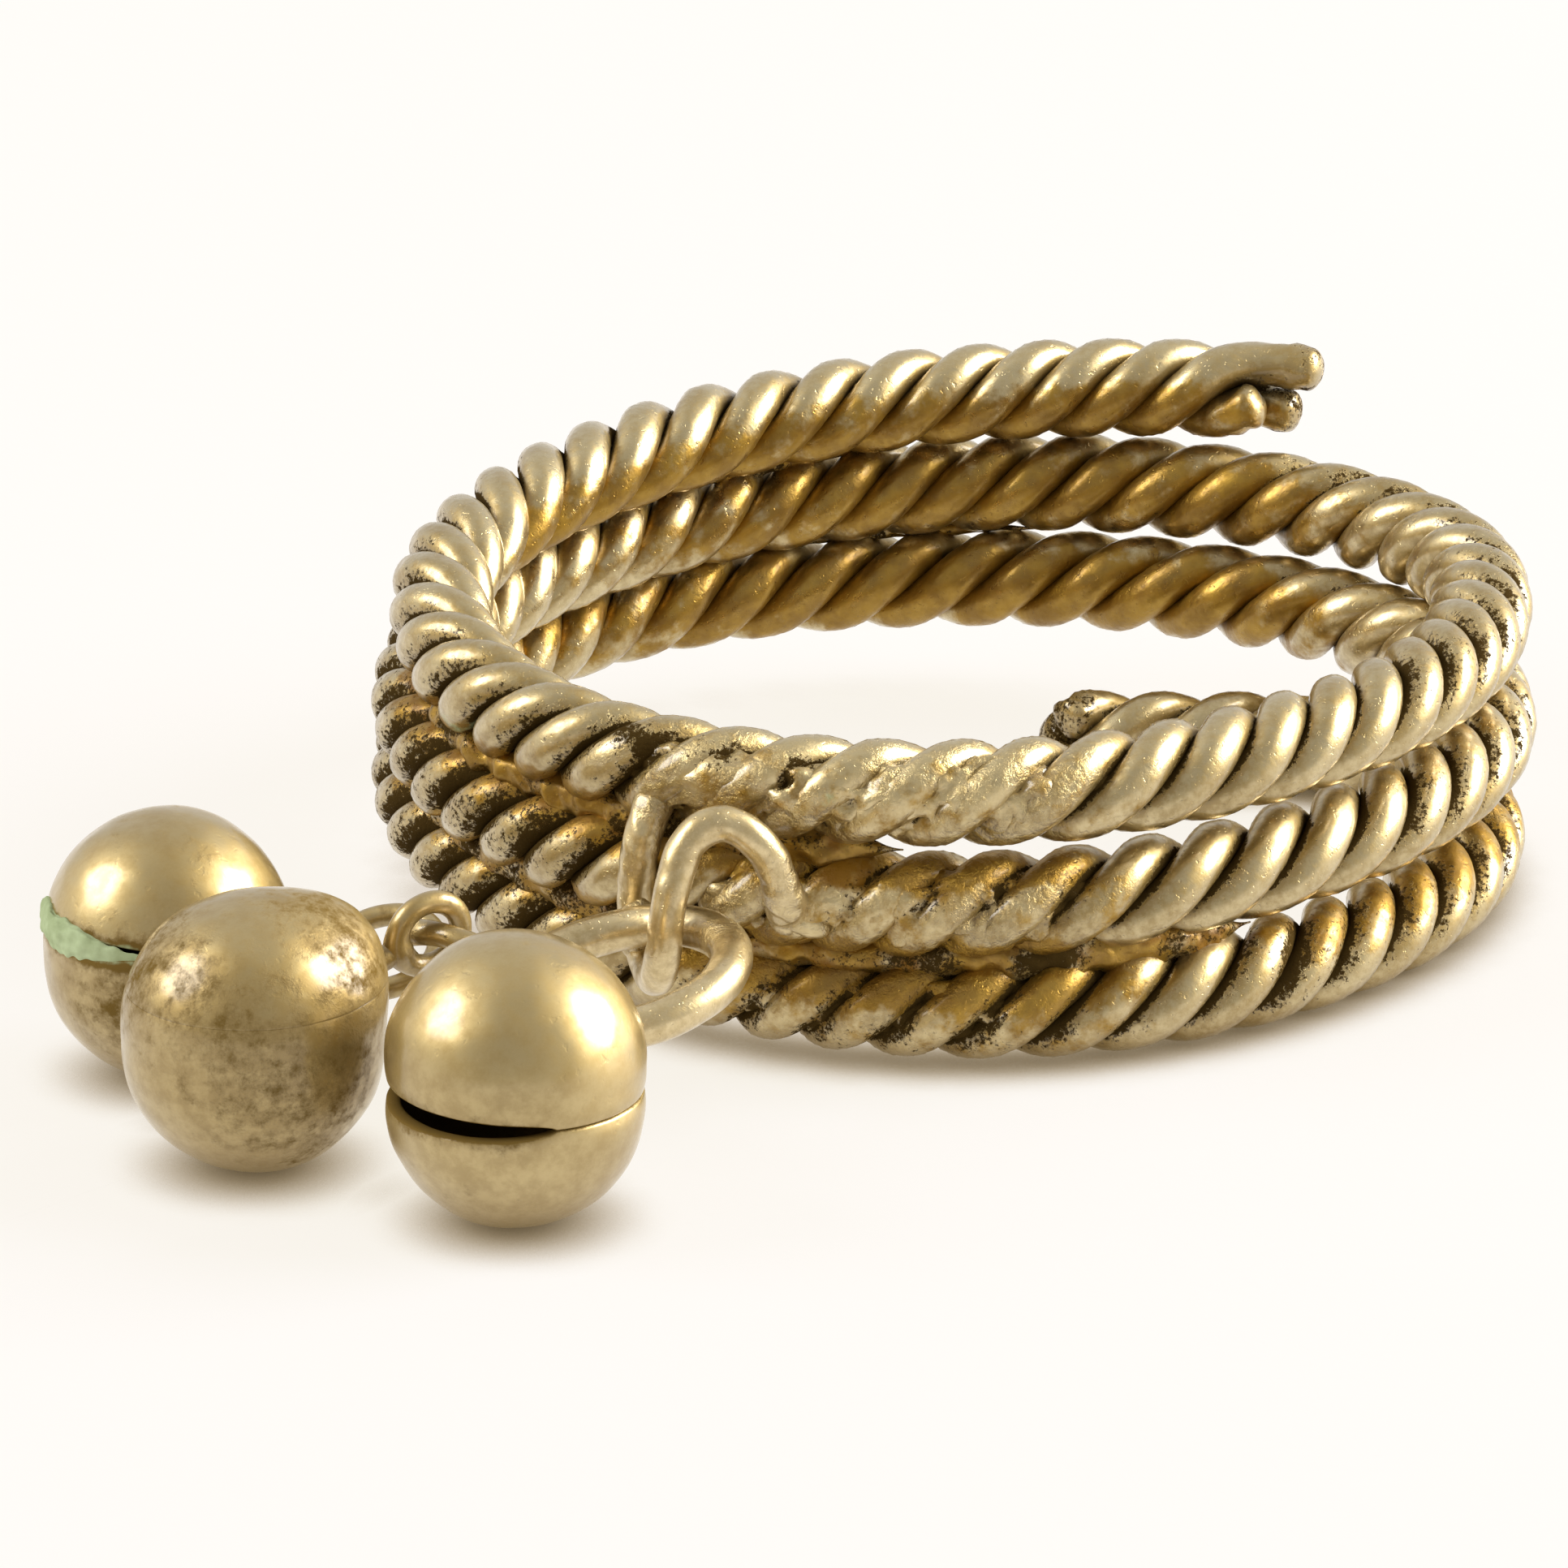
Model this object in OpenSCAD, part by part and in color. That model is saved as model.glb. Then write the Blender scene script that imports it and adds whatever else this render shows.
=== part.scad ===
// Cha cha ring: a finger ring of coiled twisted wire, with three small bells on two rings.
// Millimetres, +Z up. The coil lies on its side on the floor, its middle above the origin.

/* [Rope] */
// Diameter across the crests of the three strands
rope_d = 1.9; // [1.5:0.05:2.4]
// Depth of the groove between two strands
groove = 0.28; // [0:0.02:0.4]
// Coil angle over which the strands turn once, in degrees
lay_angle = 23.4; // [15:0.6:36]
// Scale of the coil's radius, for other finger sizes
coil_scale = 1; // [0.8:0.02:1.2]

/* [Bail] */
// Wire of the loop soldered on the front of the coil
bail_wire = 0.6; // [0.4:0.05:0.9]

/* [Rings] */
// Wire of the jump ring
jump_wire = 0.78; // [0.5:0.02:1]
// Radius of the jump ring, to the middle of its wire
jump_radius = 2.1; // [1.8:0.05:2.4]
// Wire of the link ring
link_wire = 0.45; // [0.3:0.05:0.7]
// Radius of the link ring, to the middle of its wire
link_radius = 1.6; // [1.4:0.05:2]

/* [Bells] */
// Thickness of the bells' sheet metal
bell_wall = 0.3; // [0.2:0.05:0.5]
// Height of the slit in each bell
slit_h = 0.3; // [0.15:0.05:0.6]
// How far round the slit reaches, in degrees
slit_angle = 160; // [90:5:220]
// Wire of the shank loops
shank_wire = 0.42; // [0.3:0.02:0.6]

/* [Hidden] */

// The middle line of the rope, from its upper end on the far side down to its lower end inside the coil.
// Columns: angle around the coil, radius, height. The coil is pressed a little out of round.
ROUTE = [
    [54, 12.3, 6.5],
    [90, 10.8, 6.35],
    [135, 10.0, 6.05],
    [180, 10.2, 5.75],
    [225, 10.5, 5.45],
    [270, 10.0, 5.4],
    [315, 9.3, 5.35],
    [360, 9.8, 5.1],
    [405, 11.5, 4.45],
    [450, 11.1, 4.25],
    [495, 10.7, 4.0],
    [540, 10.6, 3.75],
    [585, 10.5, 3.4],
    [630, 10.0, 3.2],
    [675, 9.4, 3.2],
    [720, 10.0, 3.1],
    [765, 10.7, 2.55],
    [810, 10.9, 2.25],
    [855, 11.4, 2.1],
    [900, 10.6, 1.8],
    [945, 9.9, 1.35],
    [990, 9.9, 1.15],
    [1035, 9.5, 1.05],
    [1080, 9.8, 1.0],
    [1105, 9.2, 0.95],
    [1130, 6.5, 0.95],
    [1149, 5.3, 0.95]
];

// The middle line of the bail's wire, from its foot on the second row, over the top,
// down under the jump ring and up behind it to its foot on the upper row.
// Columns: x, y, z.
BAIL = [
    [-3.5, -10.1, 3.0],
    [-3.6, -10.9, 3.7],
    [-3.95, -11.15, 4.6],
    [-4.7, -11.15, 5.25],
    [-5.4, -11.35, 4.8],
    [-5.7, -11.65, 3.9],
    [-5.8, -11.7, 3.0],
    [-5.95, -11.15, 2.2],
    [-6.15, -10.15, 2.1],
    [-6.35, -9.6, 3.0],
    [-6.25, -9.65, 4.2],
    [-6.0, -9.4, 5.0]
];

// Where each bell stands, where its slit is and how its shank loop lies.
// Columns: x, y, height of the middle, diameter, straight part between the domes,
// height of the slit above the middle, turn of the slit, its share of the full opening,
// turn of the shank, its rise, radius of the loop, roll of the loop, length of the neck.
BELL_FRONT = [-8.4, -17.4, 2.7, 4.7, 0.7, -0.15, 210, 1, 63, -6, 0.95, 15, 0];
BELL_MIDDLE = [-13.2, -14.8, 2.6, 4.8, 0.4, 0.9, 225, 0.4, 28, 19, 0.65, -8, 0.8];
BELL_REAR = [-15.0, -10.3, 2.55, 4.6, 0.5, 0.6, 190, 1, -17, 4, 1, 66, 1.05];

STRANDS = 3;
RING_STEP = lay_angle / 9;
BRASS = [0.70, 0.62, 0.42];
DARK_BRASS = [0.60, 0.52, 0.36];
PALE_BRASS = [0.78, 0.70, 0.50];

// The row of a table that a value of its first column falls in.
function row_at(table, value, i = 0) =
    i >= len(table) - 2 || value < table[i + 1][0] ? i : row_at(table, value, i + 1);

// The slope of a column at one row, from the rows on both sides.
function slope(table, i, column) =
    let (low = max(i - 1, 0), high = min(i + 1, len(table) - 1))
    (table[high][column] - table[low][column]) / (table[high][0] - table[low][0]);

// A smooth value of a column between two rows: a cubic that has the slope of both.
function smooth(table, value, column) =
    let (
        i = row_at(table, value),
        width = table[i + 1][0] - table[i][0],
        t = (value - table[i][0]) / width,
        rise = table[i + 1][column] - table[i][column],
        a = slope(table, i, column) * width,
        b = slope(table, i + 1, column) * width
    )
    table[i][column] + t * a + t * t * (3 * rise - 2 * a - b) + t * t * t * (a + b - 2 * rise);

// A point of the rope's middle line at an angle around the coil.
function rope_point(angle) =
    let (radius = smooth(ROUTE, angle, 1) * coil_scale)
    [radius * cos(angle), radius * sin(angle), smooth(ROUTE, angle, 2)];

function unit(v) = v / norm(v);

// One ring of points around the rope: two crest points and one groove point for each strand.
function rope_ring(angle) =
    let (
        middle = rope_point(angle),
        along = unit(rope_point(angle + 0.5) - rope_point(angle - 0.5)),
        side = unit(cross(along, [0, 0, 1])),
        upright = cross(side, along),
        turn = 360 * (angle - ROUTE[0][0]) / lay_angle
    )
    [for (k = [0:STRANDS - 1], part = [-22, 22, 60])
        let (
            a = 360 * k / STRANDS + part + turn,
            radius = rope_d / 2 - (part == 60 ? groove : 0)
        )
        middle + radius * (cos(a) * side + sin(a) * upright)];

// One length of the rope between two angles of the coil, under a whole turn.
module rope_length(from, to) {
    count = ceil((to - from) / RING_STEP);
    sides = 3 * STRANDS;
    points = [for (i = [0:count], p = rope_ring(from + (to - from) * i / count)) p];
    walls = [
        for (i = [0:count - 1], j = [0:sides - 1])
            let (a = i * sides + j, b = i * sides + (j + 1) % sides)
            each [[a, b, b + sides], [a, b + sides, a + sides]]
    ];
    first = [for (j = [sides - 1:-1:0]) j];
    last = [for (j = [0:sides - 1]) count * sides + j];
    polyhedron(points, concat([first, last], walls), convexity = 6);
}

// The whole rope, in lengths that never reach round to themselves.
module rope() {
    start = ROUTE[0][0];
    end = ROUTE[len(ROUTE) - 1][0];
    for (i = [0:3])
        rope_length(start + (end - start) * i / 4, start + (end - start) * (i + 1) / 4);
}

// A point of a table of places, smooth from row to row.
function wire_point(table, u) =
    let (
        i = min(floor(u), len(table) - 2),
        t = u - i,
        p = table[i],
        q = table[i + 1],
        a = (q - table[max(i - 1, 0)]) / (i == 0 ? 1 : 2),
        b = (table[min(i + 2, len(table) - 1)] - p) / (i == len(table) - 2 ? 1 : 2)
    )
    p + t * a + t * t * (3 * (q - p) - 2 * a - b) + t * t * t * (a + b - 2 * (q - p));

// The bail: round wire bent along its table, each stretch a hull of two balls.
module bail() {
    steps = 2 * (len(BAIL) - 1);
    for (i = [0:steps - 1])
        hull() {
            translate(wire_point(BAIL, i / 2)) sphere(d = bail_wire, $fn = 10);
            translate(wire_point(BAIL, (i + 1) / 2)) sphere(d = bail_wire, $fn = 10);
        }
}

// The rope and the bail that is soldered to it.
module band() {
    color(BRASS)
    union() {
        rope();
        bail();
    }
}

// A closed ring of round wire, flat on the XY plane about its own middle.
module wire_ring(radius, wire) {
    rotate_extrude($fn = 96) translate([radius, 0]) circle(d = wire, $fn = 24);
}

// The thick ring through the bail. It leans up to the right and a little to the back.
module jump_ring() {
    color(PALE_BRASS)
    translate([-6.6, -12.6, 2.7]) rotate([5, -13, 0]) wire_ring(jump_radius, jump_wire);
}

// The thin ring that carries the two left-hand bells. Its front and its left side are raised.
module link_ring() {
    color(DARK_BRASS)
    translate([-9.2, -12.4, 2.7]) rotate([-37, 30, 0]) wire_ring(link_radius, link_wire);
}

// The outline of half a bell, to be turned: two domes and the straight part between them.
module bell_outline(radius, straight) {
    intersection() {
        union() {
            translate([0, straight / 2]) circle(r = radius, $fn = 96);
            translate([0, -straight / 2]) circle(r = radius, $fn = 96);
            translate([0, -straight / 2]) square([radius, straight]);
        }
        translate([0, -2 * radius]) square([2 * radius, 4 * radius]);
    }
}

// The slit, as a flat wedge that is turned to point along +X.
module slit(opening) {
    rotate([0, 0, -slit_angle / 2])
    rotate_extrude(angle = slit_angle, $fn = 96)
    translate([0.6, -opening / 2]) square([4, opening]);
}

// A hollow bell with its slit on the side away from the shank, and the shank's loop soldered on.
module bell(row) {
    radius = row[3] / 2;
    straight = row[4];
    loop = row[10];
    neck = row[12];
    translate([row[0], row[1], row[2]])
    union() {
        difference() {
            rotate_extrude($fn = 96) bell_outline(radius, straight);
            rotate_extrude($fn = 96) bell_outline(radius - bell_wall, straight);
            translate([0, 0, row[5]]) rotate([0, 0, row[6]]) slit(slit_h * row[7]);
        }
        rotate([0, -row[9], row[8]]) {
            translate([radius + neck + loop - 0.1, 0, 0])
            rotate([90 - row[11], 0, 0])
            wire_ring(loop, shank_wire);
            if (neck > 0)
                translate([radius - 0.15, 0, 0])
                rotate([0, 90, 0])
                cylinder(d = shank_wire, h = neck + 0.2, $fn = 24);
        }
    }
}

module bell_front() {
    color(PALE_BRASS) bell(BELL_FRONT);
}

module bell_middle() {
    color(BRASS) bell(BELL_MIDDLE);
}

module bell_rear() {
    color(BRASS) bell(BELL_REAR);
}

band();
jump_ring();
link_ring();
bell_front();
bell_middle();
bell_rear();
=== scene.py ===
"""Cha cha ring: a finger ring coiled from a rope of three twisted wires, with three small bells.

The shapes are worked out in millimetres, in the frame of the CAD model, and go into their meshes in
metres. Each piece is a surface of two parameters, or a few of them, and carries marks: one number per
point that says how much tarnish, residue or wear its finish shows there. The ridge mark also says
where the finish paints shade in the grooves.
"""

import logging
import math
from dataclasses import dataclass, field
from enum import Enum
from functools import reduce

import bpy
import numpy as np
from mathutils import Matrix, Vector


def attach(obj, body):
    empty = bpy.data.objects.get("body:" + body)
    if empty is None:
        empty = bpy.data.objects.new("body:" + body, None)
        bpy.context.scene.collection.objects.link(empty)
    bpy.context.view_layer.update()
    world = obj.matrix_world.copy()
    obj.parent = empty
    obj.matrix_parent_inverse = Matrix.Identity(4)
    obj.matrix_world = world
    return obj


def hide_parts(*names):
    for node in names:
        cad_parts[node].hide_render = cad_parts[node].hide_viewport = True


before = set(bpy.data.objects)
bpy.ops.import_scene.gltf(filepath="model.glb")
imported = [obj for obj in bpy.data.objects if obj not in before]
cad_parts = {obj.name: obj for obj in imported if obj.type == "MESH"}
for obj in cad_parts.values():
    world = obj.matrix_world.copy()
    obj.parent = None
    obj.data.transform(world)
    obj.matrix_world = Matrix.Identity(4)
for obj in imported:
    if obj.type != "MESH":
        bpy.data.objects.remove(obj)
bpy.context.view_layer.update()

MM = 0.001
UP = np.array([0.0, 0.0, 1.0])
END_RINGS = 6  # rings that round off each end of a tube
WIRE_NAMES = ("wire_one", "wire_two", "wire_three")
Colour = tuple[float, float, float, float]
Socket = bpy.types.NodeSocket
Outputs = bpy.types.NodeOutputs
log = logging.getLogger("cha_cha_ring")


class Mark(Enum):
    """The marks that the finishes read, as names of point attributes."""

    RIDGE = "ridge"
    TARNISH = "tarnish"
    AMBER = "amber"
    GREEN = "green"
    RUST = "rust"
    SOLDER = "solder"


class Half(Enum):
    """The two domes that a bell is pressed from, as the sign of their height."""

    UPPER = 1
    LOWER = -1


def unit(vectors: np.ndarray) -> np.ndarray:
    """Vectors of length one: each vector divided by its length."""
    return vectors / np.linalg.norm(vectors, axis=-1, keepdims=True)


def ease(values: np.ndarray) -> np.ndarray:
    """A soft step from 0 to 1: three t squared less two t cubed, with t held between 0 and 1."""
    t = held(values)
    return t * t * (3.0 - 2.0 * t)


def held(values: np.ndarray) -> np.ndarray:
    """Values kept between 0 and 1."""
    return np.clip(values, 0.0, 1.0)


def bump(distance: np.ndarray, width: float) -> np.ndarray:
    """A soft hill: e to the power of minus the square of distance over width."""
    return np.exp(-((distance / width) ** 2))


def circle_angles(count: int) -> np.ndarray:
    """The angles of points spread evenly around a circle, in radians."""
    return 2.0 * math.pi * np.arange(count) / count


def degrees_apart(angles: np.ndarray, middle: float) -> np.ndarray:
    """How many degrees angles in radians lie from one in degrees, the short way round."""
    return np.degrees(np.abs(np.angle(np.exp(1j * (angles - math.radians(middle))))))


def ripple(points: np.ndarray, size: float, seed: int, count: int = 24) -> np.ndarray:
    """Smooth uneven noise, mostly between -1 and 1.

    The sum of cosine waves that run in scattered directions, each about as long as size, divided by
    the square root of twice their number.

    Args:
        points: Places in millimetres, in an array whose last axis is x, y, z.
        size: Length of the waves, in millimetres.
        seed: Number that picks the directions.
        count: How many waves are added up.

    Returns:
        One value for each point.
    """
    random = np.random.default_rng(seed)
    directions = unit(random.normal(size=(count, 3)))
    lengths = size * random.uniform(0.7, 1.4, count)
    phases = random.uniform(0.0, 2.0 * math.pi, count)
    angles = 2.0 * math.pi * (points @ directions.T) / lengths + phases
    return np.cos(angles).sum(axis=-1) / math.sqrt(2.0 * count)


def layered(points: np.ndarray, *layers: tuple[float, float, int]) -> np.ndarray:
    """Noises added up, each given by its strength, its size in millimetres and its seed."""
    return sum(strength * ripple(points, size, seed) for strength, size, seed in layers)


def smooth_column(rows: np.ndarray, value: np.ndarray, column: int) -> np.ndarray:
    """A column of a table, read between its rows.

    Between two rows it is the cubic that has the value and the slope of both. A row's slope is the
    rise from the row before it to the row after it, over the same run.

    Args:
        rows: The table, with the knots in its first column.
        value: Where to read it, on the scale of the first column.
        column: Which column to read.

    Returns:
        One number for each value.
    """
    knots, heights = rows[:, 0], rows[:, column]
    last = len(knots) - 1
    i = np.clip(np.searchsorted(knots, value, side="right") - 1, 0, last - 1)
    low = np.maximum(np.arange(last + 1) - 1, 0)
    high = np.minimum(np.arange(last + 1) + 1, last)
    slopes = (heights[high] - heights[low]) / (knots[high] - knots[low])
    width = knots[i + 1] - knots[i]
    t = (value - knots[i]) / width
    rise = heights[i + 1] - heights[i]
    a, b = slopes[i] * width, slopes[i + 1] * width
    return heights[i] + t * a + t**2 * (3 * rise - 2 * a - b) + t**3 * (a + b - 2 * rise)


def turned(x: float = 0.0, y: float = 0.0, z: float = 0.0) -> np.ndarray:
    """The matrix that turns about X, then Y, then Z, by angles in degrees."""
    a, b, c = math.radians(x), math.radians(y), math.radians(z)
    about_x = np.array([[1, 0, 0], [0, math.cos(a), -math.sin(a)], [0, math.sin(a), math.cos(a)]])
    about_y = np.array([[math.cos(b), 0, math.sin(b)], [0, 1, 0], [-math.sin(b), 0, math.cos(b)]])
    about_z = np.array([[math.cos(c), -math.sin(c), 0], [math.sin(c), math.cos(c), 0], [0, 0, 1]])
    return about_z @ about_y @ about_x


def direction(azimuth: float, elevation: float) -> np.ndarray:
    """The unit vector at an azimuth, turned from +X, and an elevation, both in degrees."""
    a, e = math.radians(azimuth), math.radians(elevation)
    return np.array([math.cos(e) * math.cos(a), math.cos(e) * math.sin(a), math.sin(e)])


@dataclass
class Sheet:
    """A closed surface of two parameters, as a grid of points in millimetres.

    The columns always close on themselves. The rows either close too, as on a ring, or run from one
    pole to the other, as on a ball or a wire with two ends.
    """

    points: np.ndarray
    poles: np.ndarray | None = None
    marks: dict[Mark, np.ndarray] = field(default_factory=dict)

    def corners(self) -> np.ndarray:
        """All points in one list: the grid row by row, then the two poles."""
        grid = self.points.reshape(-1, 3)
        return grid if self.poles is None else np.concatenate([grid, self.poles])

    def quads(self) -> np.ndarray:
        """The four corners of each face between two rows and two columns."""
        rows, columns = self.points.shape[:2]
        across = rows if self.poles is None else rows - 1
        i, j = np.meshgrid(np.arange(across), np.arange(columns), indexing="ij")
        below, beside = (i + 1) % rows, (j + 1) % columns
        loops = [i * columns + j, below * columns + j, below * columns + beside, i * columns + beside]
        return np.stack(loops, axis=-1).reshape(-1, 4)

    def fans(self) -> np.ndarray:
        """The three corners of each face between a pole and the row next to it."""
        if self.poles is None:
            return np.zeros((0, 3), int)
        rows, columns = self.points.shape[:2]
        j = np.arange(columns)
        beside = (j + 1) % columns
        first = np.stack([np.full(columns, rows * columns), j, beside], axis=-1)
        base = (rows - 1) * columns
        last = np.stack([np.full(columns, rows * columns + 1), base + beside, base + j], axis=-1)
        return np.concatenate([first, last])

    def faces(self) -> tuple[np.ndarray, np.ndarray]:
        """Quads and triangles, turned over where the volume they hold comes out negative.

        The volume is a sixth of the sum, over all triangles, of the product of their three corners.

        Returns:
            The quads and the triangles.
        """
        quads, fans, corners = self.quads(), self.fans(), self.corners()
        triangles = np.concatenate([quads[:, [0, 1, 2]], quads[:, [0, 2, 3]], fans])
        a, b, c = (corners[triangles[:, k]] for k in range(3))
        if np.einsum("ij,ij->", a, np.cross(b, c)) < 0:
            quads, fans = quads[:, ::-1], fans[:, ::-1]
        return quads, fans

    def mark_values(self, mark: Mark) -> np.ndarray:
        """One value of a mark for each corner, 0 where the sheet doesn't carry it."""
        count = len(self.corners())
        values = np.zeros(count)
        if mark in self.marks:
            grid = self.marks[mark].reshape(-1)
            values[: len(grid)] = grid
            if self.poles is not None:
                values[-2], values[-1] = self.marks[mark][0].mean(), self.marks[mark][-1].mean()
        return values

    def moved(self, place: tuple[float, float, float], matrix: np.ndarray | None = None) -> "Sheet":
        """The same sheet, turned about the origin by a matrix, if any, and then moved by a place."""
        turn = np.eye(3) if matrix is None else matrix
        poles = None if self.poles is None else self.poles @ turn.T + place
        return Sheet(self.points @ turn.T + place, poles, self.marks)


def add_object(name: str, data: bpy.types.ID) -> bpy.types.Object:
    """A new object in the scene, at the origin, that shows a mesh, a light or a camera."""
    made = bpy.data.objects.new(name, data)
    bpy.context.scene.collection.objects.link(made)
    return made


def make_piece(name: str, sheets: list[Sheet]) -> bpy.types.Object:
    """Puts sheets into one mesh, in metres, with their marks as point attributes.

    Args:
        name: Name of the piece.
        sheets: Closed surfaces in millimetres.

    Returns:
        The new object, at the origin.
    """
    corners, loops, starts, base, loop_count = [], [], [], 0, 0
    for sheet in sheets:
        quads, fans = sheet.faces()
        corners.append(sheet.corners())
        loops += [(quads + base).reshape(-1), (fans + base).reshape(-1)]
        starts.append(loop_count + 4 * np.arange(len(quads)))
        loop_count += 4 * len(quads)
        starts.append(loop_count + 3 * np.arange(len(fans)))
        loop_count += 3 * len(fans)
        base += len(corners[-1])
    corners, loops, starts = (np.concatenate(part) for part in (corners, loops, starts))
    mesh = bpy.data.meshes.new(name)
    mesh.vertices.add(len(corners))
    mesh.vertices.foreach_set("co", (corners * MM).astype(np.float32).reshape(-1))
    mesh.loops.add(len(loops))
    mesh.loops.foreach_set("vertex_index", loops.astype(np.int32))
    mesh.polygons.add(len(starts))
    mesh.polygons.foreach_set("loop_start", starts.astype(np.int32))
    mesh.polygons.foreach_set("use_smooth", np.ones(len(starts), bool))
    for mark in Mark:
        values = np.concatenate([sheet.mark_values(mark) for sheet in sheets])
        attribute = mesh.attributes.new(mark.value, "FLOAT", "POINT")
        attribute.data.foreach_set("value", values.astype(np.float32))
    mesh.update(calc_edges=True)
    return add_object(name, mesh)


def with_ends(rings: np.ndarray, depth: float) -> tuple[np.ndarray, np.ndarray]:
    """Rounds off both ends of a tube.

    At each end come rings that shrink as the square root of one less t squared, moved outwards by
    t times the depth, and then the pole at t equal to one.

    Args:
        rings: The tube, as rows of rings.
        depth: How far the ends stand out, in millimetres.

    Returns:
        The longer tube and its two poles.
    """
    t = np.sin(np.linspace(0.0, 0.5 * math.pi, END_RINGS + 2)[1:-1])
    grow, shrink = t[:, None, None], np.sqrt(1.0 - t**2)[:, None, None]
    first, last = rings[0].mean(axis=0), rings[-1].mean(axis=0)
    out_first = unit(first - rings[1].mean(axis=0)) * depth
    out_last = unit(last - rings[-2].mean(axis=0)) * depth
    head = first + (rings[0] - first) * shrink + out_first * grow
    tail = last + (rings[-1] - last) * shrink + out_last * grow
    poles = np.stack([first + out_first, last + out_last])
    return np.concatenate([head[::-1], rings, tail]), poles


def closed_tube(rings: np.ndarray, depth: float, marks: dict[Mark, np.ndarray]) -> Sheet:
    """A tube with rounded ends of a depth. The marks of its end rings go on over its ends."""
    grid, poles = with_ends(rings, depth)
    rows = ((END_RINGS, END_RINGS), (0, 0))
    padded = {mark: np.pad(values, rows, mode="edge") for mark, values in marks.items()}
    return Sheet(grid, poles, padded)


def tube_rings(path: np.ndarray, radius: np.ndarray, sides: int, up: np.ndarray) -> np.ndarray:
    """Rings around a path.

    Each ring lies across the path's direction. Its points are the middle plus the radius times the
    cosine of the angle along one cross direction and its sine along the other.

    Args:
        path: The middle line, in millimetres.
        radius: Radius for each point of the path, or for each point of each ring.
        sides: Points in a ring.
        up: A direction that the path never follows, or one for each point of it.

    Returns:
        An array of rings, points and coordinates.
    """
    along = unit(np.gradient(path, axis=0))
    side = unit(np.cross(along, up))
    other = np.cross(side, along)
    angle = circle_angles(sides)[None, :, None]
    reach = radius if np.ndim(radius) == 2 else np.asarray(radius)[:, None] * np.ones(sides)
    across = np.cos(angle) * side[:, None] + np.sin(angle) * other[:, None]
    return path[:, None] + reach[:, :, None] * across


def scaled(rings: np.ndarray, path: np.ndarray, factor: np.ndarray) -> np.ndarray:
    """Rings whose points' distances from the path are multiplied by a factor for each point."""
    return path[:, None] + (rings - path[:, None]) * factor[..., None]


def pushed(rings: np.ndarray, path: np.ndarray, amount: np.ndarray) -> np.ndarray:
    """Rings whose points are moved straight away from the path by an amount for each point."""
    return rings + amount[..., None] * unit(rings - path[:, None])


def even_marks(points: np.ndarray, amounts: dict[Mark, float]) -> dict[Mark, np.ndarray]:
    """Marks that have the same amount at every point of a grid."""
    return {mark: np.full(points.shape[:2], float(amount)) for mark, amount in amounts.items()}


def per_ring(values: np.ndarray, sides: int) -> np.ndarray:
    """One value for each ring, given to all of its points."""
    return np.repeat(values[:, None], sides, 1)


@dataclass(frozen=True)
class Stain:
    """Where a mark lies on the rope.

    It runs from one coil angle to another and leans towards one side of the rope: 0 is out of the
    coil, 90 is up, 180 is into the coil and -90 is down. Angles are in degrees.
    """

    mark: Mark
    start: float
    end: float
    lean: float
    spread: float  # from the side it leans to, where it is strongest, to where it ends
    amount: float
    fade: float = 14.0  # coil angle over which it comes and goes at both ends

    def on(self, coil: np.ndarray, section: np.ndarray) -> np.ndarray:
        """How strong the stain is at each place.

        The product of a soft step in, a soft step out and a hill around the side it leans to.

        Args:
            coil: Coil angles in degrees.
            section: Angles around the rope, in degrees.

        Returns:
            Strengths from 0 to the amount.
        """
        window = ease((coil - self.start) / self.fade + 0.5) * ease((self.end - coil) / self.fade + 0.5)
        floor = math.cos(math.radians(self.spread))
        hill = (np.cos(np.radians(section - self.lean)) - floor) / (1.0 - floor)
        return self.amount * window * ease(hill)


# The rope's middle line, from its upper end on the far side down to its lower end inside the coil.
# Columns: coil angle in degrees, radius and height in millimetres.
ROUTE_ROWS = (
    (54, 12.3, 6.5),
    (90, 10.8, 6.29),
    (135, 10.0, 6.02),
    (180, 10.2, 5.75),
    (225, 10.5, 5.45),
    (270, 10.0, 5.4),
    (315, 9.3, 5.35),
    (360, 9.8, 5.1),
    (405, 11.5, 4.47),
    (450, 11.1, 4.29),
    (495, 10.7, 4.03),
    (540, 10.6, 3.75),
    (585, 10.5, 3.4),
    (630, 10.0, 3.2),
    (675, 9.4, 3.2),
    (720, 10.0, 3.1),
    (765, 10.7, 2.6),
    (810, 10.9, 2.33),
    (855, 11.4, 2.14),
    (900, 10.6, 1.8),
    (945, 9.9, 1.35),
    (990, 9.9, 1.15),
    (1035, 9.5, 1.05),
    (1080, 9.8, 1.0),
    (1105, 9.2, 0.95),
    (1130, 6.5, 0.95),
    (1149, 5.3, 0.95),
)
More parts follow.
